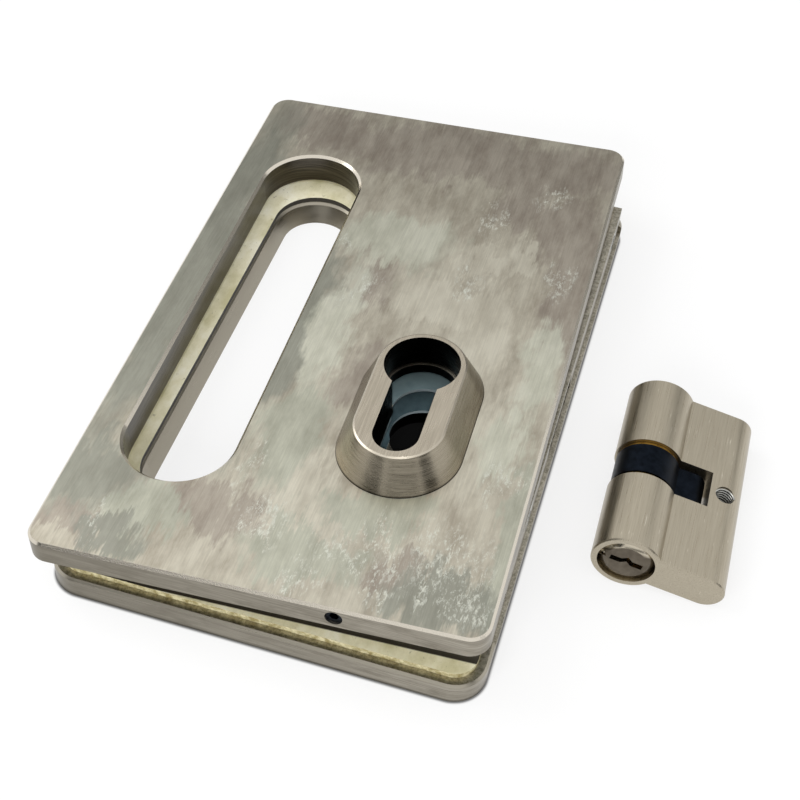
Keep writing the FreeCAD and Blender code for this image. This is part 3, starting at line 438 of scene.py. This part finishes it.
def black_oxide():
    """Sintered steel with black oiled oxide: nearly black with a blue cast, and a soft gloss."""
    finish = Finish("black_oxide_steel")
    cloud = finish.pattern((2, 2, 2))
    base = finish.add("ValToRGB", {"stops": ((0.3, "#0c1016"), (0.7, "#1c222b"))}, Fac=cloud)
    rough = finish.add("MapRange", Value=cloud, **NOISE_SPAN, To_Min=0.35, To_Max=0.5)
    return finish.surface(cloud, 0.02, Metallic=1.0, Base_Color=base, Roughness=rough)


def bare_brass():
    """Turned brass, dulled by handling."""
    finish = Finish("bare_brass")
    cloud = finish.pattern((2, 2, 2))
    base = finish.add("ValToRGB", {"stops": ((0.3, "#8a6a2e"), (0.7, "#c09a4e"))}, Fac=cloud)
    rough = finish.add("MapRange", Value=cloud, **NOISE_SPAN, To_Min=0.24, To_Max=0.36)
    return finish.surface(cloud, 0.01, Metallic=1.0, Base_Color=base, Roughness=rough)


STEEL = turned_steel()
PLUG = plug_nickel()

# Each finish and the nodes that take it
NODE_FINISHES = (
    (cloudy_stainless(), ("front_plate",)),
    (rim_stainless(), ("back_plate", "forend")),
    (satin_nickel(), ("bezel",)),
    (cylinder_nickel(), ("cylinder_body",)),
    (PLUG, ("front_plug", "rear_plug")),
    (cream_rubber(), ("back_gasket", "front_gasket")),
    (zinc_steel("blue_zinc_steel", "#7d9398", "#97adb1"), ("case_cover", "case_rivets")),
    # Painted shade: the lock case's zinc is darker than the cover's, as shade deep in the cylinder hole
    (zinc_steel("zinc_steel_painted_shade", "#43555b", "#5c7177"), ("lock_case",)),
    (STEEL, ("hook_bolt", "hook_pivot_pin", "case_screws", "detent_spring", "clamp_studs", "forend_screws",
             "cylinder_screw", "bezel_screws", "driver_springs", "cam_clutch")),
    (black_oxide(), ("cam", "grub_screws")),
    (bare_brass(), ("retaining_clips", "driver_pins", "chamber_plugs", "front_key_pins", "rear_key_pins")),
)

for node_finish, node_names in NODE_FINISHES:
    for node_name in node_names:
        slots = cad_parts[node_name].data.materials
        slots.clear()
        slots.append(node_finish)


# Objects and meshes

# Distances below which the points of a node and those of a coil are merged
NODE_MERGE = 1e-6
COIL_MERGE = 1e-7

# Points no further apart than this along an axis count as level with each other
NEARLY = 0.01 * MM


def new_object(name, data):
    """Object of a mesh, a lamp or a camera, in the scene."""
    obj = bpy.data.objects.new(name, data)
    bpy.context.scene.collection.objects.link(obj)
    return obj


def new_mesh(name, builder):
    """Mesh made of a bmesh, which is freed."""
    mesh = bpy.data.meshes.new(name)
    builder.to_mesh(mesh)
    builder.free()
    return mesh


def show(mesh, name, body):
    """Piece made of a mesh, which rides on a body."""
    obj = new_object(name, mesh)
    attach(obj, body)
    return obj


def merged_copy(node_name):
    """Copy of a node's mesh with its loose triangles joined, as an editable bmesh."""
    builder = bmesh.new()
    builder.from_mesh(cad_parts[node_name].data)
    bmesh.ops.remove_doubles(builder, verts=builder.verts, dist=NODE_MERGE)
    return builder


# Threads, wound by one tree of geometry nodes

COIL_SIZES = {"Turns": "NodeSocketFloat", "Pitch": "NodeSocketFloat", "Radius": "NodeSocketFloat",
              "Wire": "NodeSocketFloat", "Sides": "NodeSocketInt", "Finish": "NodeSocketMaterial"}
POINTS_PER_TURN = 28


def coil_tree():
    """Winds one coil about +Z at each point it is given. A coil of four sides is a sharp screw thread."""
    tree = bpy.data.node_groups.new("coil", "GeometryNodeTree")
    tree.interface.new_socket("Points", in_out="INPUT", socket_type="NodeSocketGeometry")
    keys = {name: tree.interface.new_socket(name, in_out="INPUT", socket_type=kind).identifier
            for name, kind in COIL_SIZES.items()}
    tree.interface.new_socket("Coils", in_out="OUTPUT", socket_type="NodeSocketGeometry")
    sizes = tree.nodes.new("NodeGroupInput").outputs
    height = add_node(tree, "ShaderNodeMath", TIMES, _0=sizes["Turns"], _1=sizes["Pitch"])
    line = add_node(tree, "GeometryNodeCurveSpiral", Resolution=POINTS_PER_TURN, Rotations=sizes["Turns"],
                    Start_Radius=sizes["Radius"], End_Radius=sizes["Radius"], Height=height)
    line = add_node(tree, "GeometryNodeSetCurveNormal", {"mode": "Z_UP"}, Curve=line)
    section = add_node(tree, "GeometryNodeCurvePrimitiveCircle", Resolution=sizes["Sides"],
                       Radius=sizes["Wire"])
    wound = add_node(tree, "GeometryNodeCurveToMesh", _0=line, Profile_Curve=section, Fill_Caps=True)
    coils = add_node(tree, "GeometryNodeInstanceOnPoints", Points=sizes["Points"], Instance=wound)
    coils = add_node(tree, "GeometryNodeRealizeInstances", Geometry=coils)
    coils = add_node(tree, "GeometryNodeSetMaterial", Geometry=coils, Material=sizes["Finish"])
    add_node(tree, "NodeGroupOutput", _0=coils)
    return tree, keys


COIL_TREE, COIL_KEYS = coil_tree()


def coils(name, points, placement, **sizes):
    """Plain mesh of equal coils that start at the points, carried to its place."""
    start = bpy.data.meshes.new(name + "_points")
    start.from_pydata(points, [], [])
    obj = new_object(name + "_points", start)
    modifier = obj.modifiers.new("coil", "NODES")
    modifier.node_group = COIL_TREE
    for size, value in sizes.items():
        modifier[COIL_KEYS[size]] = value
    graph = bpy.context.evaluated_depsgraph_get()
    mesh = bpy.data.meshes.new_from_object(obj.evaluated_get(graph))
    obj.modifiers.clear()
    bpy.data.objects.remove(obj)
    mesh.name = name
    builder = bmesh.new()
    builder.from_mesh(mesh)
    bmesh.ops.remove_doubles(builder, verts=builder.verts, dist=COIL_MERGE)
    bmesh.ops.recalc_face_normals(builder, faces=builder.faces)
    builder.to_mesh(mesh)
    builder.free()
    mesh.transform(placement)
    return mesh


# M5 threads: pitch, depth, which is the radius of the four-sided wire, and outer radius
THREAD_PITCH = 0.8 * MM
THREAD_DEPTH = 0.42 * MM
M5_RADIUS = 2.5 * MM
M5_THREAD = {"Pitch": THREAD_PITCH, "Wire": THREAD_DEPTH, "Sides": 4, "Finish": STEEL}

# The fixing hole through the fin: its distance from the cylinder's axis, the turns of its thread, and how far
# the thread's middle lies above the fin's. The thread ends short of both sides of the fin.
FIXING_OUT = 19.3 * MM
FIXING_TURNS = 10.0
FIXING_MIDDLE = 0.2 * MM

# Length of the long screw's head
SCREW_HEAD = 1.5 * MM


def fixing_thread():
    """The thread in the cylinder's fixing hole."""
    start = (FIXING_OUT, 0, FIXING_MIDDLE - FIXING_TURNS * THREAD_PITCH / 2)
    mesh = coils("fixing_thread", [start], CYLINDER_FRAME, Turns=FIXING_TURNS, Radius=M5_RADIUS, **M5_THREAD)
    show(mesh, "fixing_thread", "cylinder")


def threaded_cylinder_screw():
    """The long M5 screw with its thread, in place of the plain shank."""
    low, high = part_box("cylinder_screw")
    head_start = high[0] - SCREW_HEAD
    middle = Vector((0, (low[1] + high[1]) / 2, (low[2] + high[2]) / 2))
    root = M5_RADIUS - THREAD_DEPTH
    builder = merged_copy("cylinder_screw")
    for point in builder.verts:
        out = Vector((0, point.co.y, point.co.z)) - middle
        if point.co.x < head_start + NEARLY and out.length > root:
            out = out.normalized() * root
            point.co = Vector((point.co.x, middle.y + out.y, middle.z + out.z))
    turns = math.floor((head_start - low[0] - 2 * THREAD_DEPTH) / THREAD_PITCH)
    start = Matrix.Translation((low[0] + THREAD_DEPTH, middle.y, middle.z))
    thread = coils("cylinder_screw_thread", [(0, 0, 0)], start @ Matrix.Rotation(math.pi / 2, 4, "Y"),
                   Turns=float(turns), Radius=root, **M5_THREAD)
    builder.from_mesh(thread)
    mesh = new_mesh("cylinder_screw_threaded", builder)
    mesh.materials.append(STEEL)
    obj = show(mesh, "cylinder_screw_threaded", "cylinder_screw")
    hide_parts("cylinder_screw")


# The front plug's bevel. The outline of its face, which is all that lies past FACE_OUTLINE, is drawn in from
# FACE_RADIUS to BEVELLED_RADIUS. The rim, past RIM_OUTLINE and no deeper than RIM_UP_TO, is set back to
# RIM_DEPTH.
FACE_RADIUS = 6.4 * MM
BEVELLED_RADIUS = 5.1 * MM
FACE_OUTLINE = 6.0 * MM
RIM_OUTLINE = 6.8 * MM
RIM_UP_TO = 0.6 * MM
RIM_DEPTH = 0.9 * MM


def bevelled_front_plug():
    """The front plug with the wide polished bevel round its face."""
    inverse = CYLINDER_FRAME.inverted()
    builder = merged_copy("front_plug")
    front = min((inverse @ point.co).y for point in builder.verts)
    for point in builder.verts:
        here = inverse @ point.co
        reach = math.hypot(here.x, here.z)
        if here.y < front + NEARLY and reach > FACE_OUTLINE:
            inner = BEVELLED_RADIUS / FACE_RADIUS
            here = Vector((here.x * inner, here.y, here.z * inner))
        elif here.y < front + RIM_UP_TO and reach > RIM_OUTLINE:
            here = Vector((here.x, front + RIM_DEPTH, here.z))
        point.co = CYLINDER_FRAME @ here
    mesh = new_mesh("front_plug_bevelled", builder)
    mesh.materials.append(PLUG)
    obj = show(mesh, "front_plug_bevelled", "front_plug")
    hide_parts("front_plug")


fixing_thread()
threaded_cylinder_screw()
bevelled_front_plug()


# The photograph's camera, fitted to the plates and to the cylinder
CAMERA_AT = Vector((71.42, -270.42, 292.29)) * MM
CAMERA_TURN = math.radians(-13.24)
CAMERA_DOWN = math.radians(47.13)
CAMERA_ROLL = math.radians(4.50)
FOCAL_PX = 1504.9
IMAGE_PX = 800
SENSOR_MM = 36.0
CLIP_START = 0.01


def camera():
    lens = bpy.data.cameras.new("camera")
    lens.sensor_width = SENSOR_MM
    lens.lens = FOCAL_PX / IMAGE_PX * SENSOR_MM
    lens.clip_start = CLIP_START
    obj = new_object("camera", lens)
    forward = Vector((math.sin(CAMERA_TURN) * math.cos(CAMERA_DOWN),
                      math.cos(CAMERA_TURN) * math.cos(CAMERA_DOWN),
                      -math.sin(CAMERA_DOWN)))
    level = Vector((math.cos(CAMERA_TURN), -math.sin(CAMERA_TURN), 0))
    above = level.cross(forward)
    right = level * math.cos(CAMERA_ROLL) + above * math.sin(CAMERA_ROLL)
    up = above * math.cos(CAMERA_ROLL) - level * math.sin(CAMERA_ROLL)
    turn = Matrix((right, up, -forward)).transposed().to_4x4()
    obj.matrix_world = Matrix.Translation(CAMERA_AT) @ turn
    bpy.context.scene.camera = obj


# Table and studio

# The table: how far it reaches from its middle in metres, how far it lies under the part, so that the two
# faces don't share a plane, and how much of what the camera sees of it is plain white
TABLE_REACH = 3.0
TABLE_BELOW = 0.05 * MM
TABLE_WHITE = 0.75

# The painted contact shadow round the back plate: the plate's corner radius, how far out the line starts to
# fade and has
#  faded, how far in it reaches, and how dark it is
PLATE_CORNER = 8.0 * MM
LINE_FADES = 0.2 * MM
LINE_ENDS = 0.8 * MM
LINE_INSIDE = 2 * MM
LINE_DARK = 0.85

# Strength of the sky at the horizon and overhead
DOME_LOW = 0.35
DOME_TOP = 1.0

# The lamp into the cylinder hole: power in watts, spread, softness of its edge, radius and distance from what
# it points at in metres, and what it points at
HOLE_LAMP_POWER = 14.0
HOLE_LAMP_SPREAD = math.radians(3.2)
HOLE_LAMP_EDGE = 0.4
HOLE_LAMP_RADIUS = 0.01
HOLE_LAMP_AWAY = 0.5
HOLE_LAMP_TARGET = Vector((HOLE_X, HOLE_Y + 4, 12)) * MM


def seen_directly(tree):
    """1 for rays from the camera and rays that metal and glass pass on, which see the plain white."""
    seen = 0.0
    for kind in ("Is Camera Ray", "Is Glossy Ray", "Is Transmission Ray"):
        this_kind = add_node(tree, "ShaderNodeLightPath", output=kind)
        seen = add_node(tree, "ShaderNodeMath", MOST, _0=seen, _1=this_kind)
    return seen


def contact_shadow(finish):
    """Part of the light that is lost along the outline of the back plate, under its rounded lower edge."""
    low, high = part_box("back_plate")
    middle, half = (low + high) / 2, (high - low) / 2
    straight = (half.x - PLATE_CORNER, half.y - PLATE_CORNER, 1.0)
    here = finish.add("VectorMath", MINUS, _0=finish.place, _1=(middle.x, middle.y, 0))
    here = finish.add("VectorMath", UNSIGNED, _0=here)
    here = finish.add("VectorMath", MINUS, _0=here, _1=straight)
    here = finish.add("VectorMath", MOST, _0=here, _1=(0, 0, 0))
    out = finish.add("VectorMath", LENGTH, "Value", _0=here)
    edge = finish.add("MapRange", Value=out, From_Min=PLATE_CORNER + LINE_FADES,
                      From_Max=PLATE_CORNER + LINE_ENDS, To_Min=LINE_DARK, To_Max=0.0)
    ring = finish.add("Math", ABOVE, _0=out, _1=PLATE_CORNER - LINE_INSIDE)
    return finish.add("Math", TIMES, _0=edge, _1=ring)


def white_table():
    """White table top that keeps the soft shadow of the lock; painted shade darkens it under the cylinder
    hole and round the back plate.
    """
    builder = bmesh.new()
    bmesh.ops.create_grid(builder, x_segments=1, y_segments=1, size=TABLE_REACH)
    mesh = new_mesh("table", builder)
    obj = new_object("table", mesh)
    obj.location.z = -TABLE_BELOW
    finish = Finish("white_table")
    seen = seen_directly(finish.tree)
    covered = finish.add("Math", MOST, _0=finish.within(UNDER_HOLE, soft=0.3), _1=contact_shadow(finish))
    bare = finish.add("Math", MINUS, _0=1.0, _1=covered)
    part = finish.add("Math", TIMES, _0=finish.add("Math", TIMES, _0=seen, _1=bare), _1=TABLE_WHITE)
    # Painted shade: the table is nearly black under the cylinder hole and along the back plate's outline
    shade = finish.add("Mix", COLOURS, 2, _0=covered, _6=colour("#fbfbfb"), _7=colour("#0c0c0c"))
    matt = finish.add("BsdfDiffuse", Color=shade)
    glow = finish.add("Emission", Color=(1, 1, 1, 1), Strength=1.0)
    finish.add("OutputMaterial", Surface=finish.add("MixShader", _0=part, _1=matt, _2=glow))
    mesh.materials.append(finish.material)


def studio_world():
    """Soft light that comes mostly from above, in a surround that looks plain white."""
    world = bpy.data.worlds.new("studio")
    bpy.context.scene.world = world
    world.use_nodes = True
    tree = world.node_tree
    tree.nodes.clear()
    way = add_node(tree, "ShaderNodeTexCoord", output="Generated")
    height = add_node(tree, "ShaderNodeSeparateXYZ", output="Z", Vector=way)
    dome = add_node(tree, "ShaderNodeMapRange", Value=height, To_Min=DOME_LOW, To_Max=DOME_TOP)
    strength = add_node(tree, "ShaderNodeMix", _0=seen_directly(tree), _2=dome, _3=1.0)
    back = add_node(tree, "ShaderNodeBackground", Color=(1, 1, 1, 1), Strength=strength)
    add_node(tree, "ShaderNodeOutputWorld", Surface=back)


def softbox(name, place, size, power, mirrored=True):
    """Oblong lamp that points at the origin, its place and size in metres and its power in watts."""
    lamp = bpy.data.lights.new(name, "AREA")
    lamp.shape = "RECTANGLE"
    lamp.size, lamp.size_y = size
    lamp.energy = power
    obj = new_object(name, lamp)
    obj.location = place
    obj.rotation_euler = (-Vector(place)).to_track_quat("-Z", "Y").to_euler()
    obj.visible_glossy = mirrored


def hole_lamp():
    """Narrow lamp that shines into the cylinder hole from the camera's side, where no softbox reaches."""
    lamp = bpy.data.lights.new("hole_lamp", "SPOT")
    lamp.energy = HOLE_LAMP_POWER
    lamp.spot_size = HOLE_LAMP_SPREAD
    lamp.spot_blend = HOLE_LAMP_EDGE
    lamp.shadow_soft_size = HOLE_LAMP_RADIUS
    obj = new_object("hole_lamp", lamp)
    obj.location = HOLE_LAMP_TARGET + (CAMERA_AT - HOLE_LAMP_TARGET).normalized() * HOLE_LAMP_AWAY
    obj.rotation_euler = (HOLE_LAMP_TARGET - obj.location).to_track_quat("-Z", "Y").to_euler()


def card(name, place, width, height, code):
    """Upright studio card that faces the lock, in metres: metal mirrors it, while the camera and matt things
    don't see it."""
    out = Vector((place[0], place[1], 0))
    aside = out.normalized().cross(Vector((0, 0, 1))) * width / 2
    up = Vector((0, 0, height))
    mesh = bpy.data.meshes.new(name)
    mesh.from_pydata([out - aside, out + aside, out + aside + up, out - aside + up], [], [(0, 1, 2, 3)])
    finish = Finish(name)
    finish.add("OutputMaterial", Surface=finish.add("Emission", Color=colour(code), Strength=1.0))
    mesh.materials.append(finish.material)
    obj = new_object(name, mesh)
    obj.visible_camera = False
    obj.visible_diffuse = False
    obj.visible_shadow = False


white_table()
studio_world()
softbox("key", (-0.9, 0.1, 0.8), size=(0.8, 0.8), power=4.6)
softbox("front_strip", (-0.15, -1.0, 0.5), size=(0.7, 0.35), power=7.0, mirrored=False)
card("far_card", (0.0, 1.3), width=2.6, height=1.0, code="#8c8c8a")
card("front_card", (0.44, -1.21), width=1.3, height=0.35, code="#8c8c8a")
card("left_flag", (-0.47, -0.88), width=0.54, height=0.6, code="#0c0c0b")
card("right_flag", (0.9, -0.44), width=0.42, height=0.5, code="#161615")
hole_lamp()
camera()
bpy.context.scene.view_settings.view_transform = "Standard"
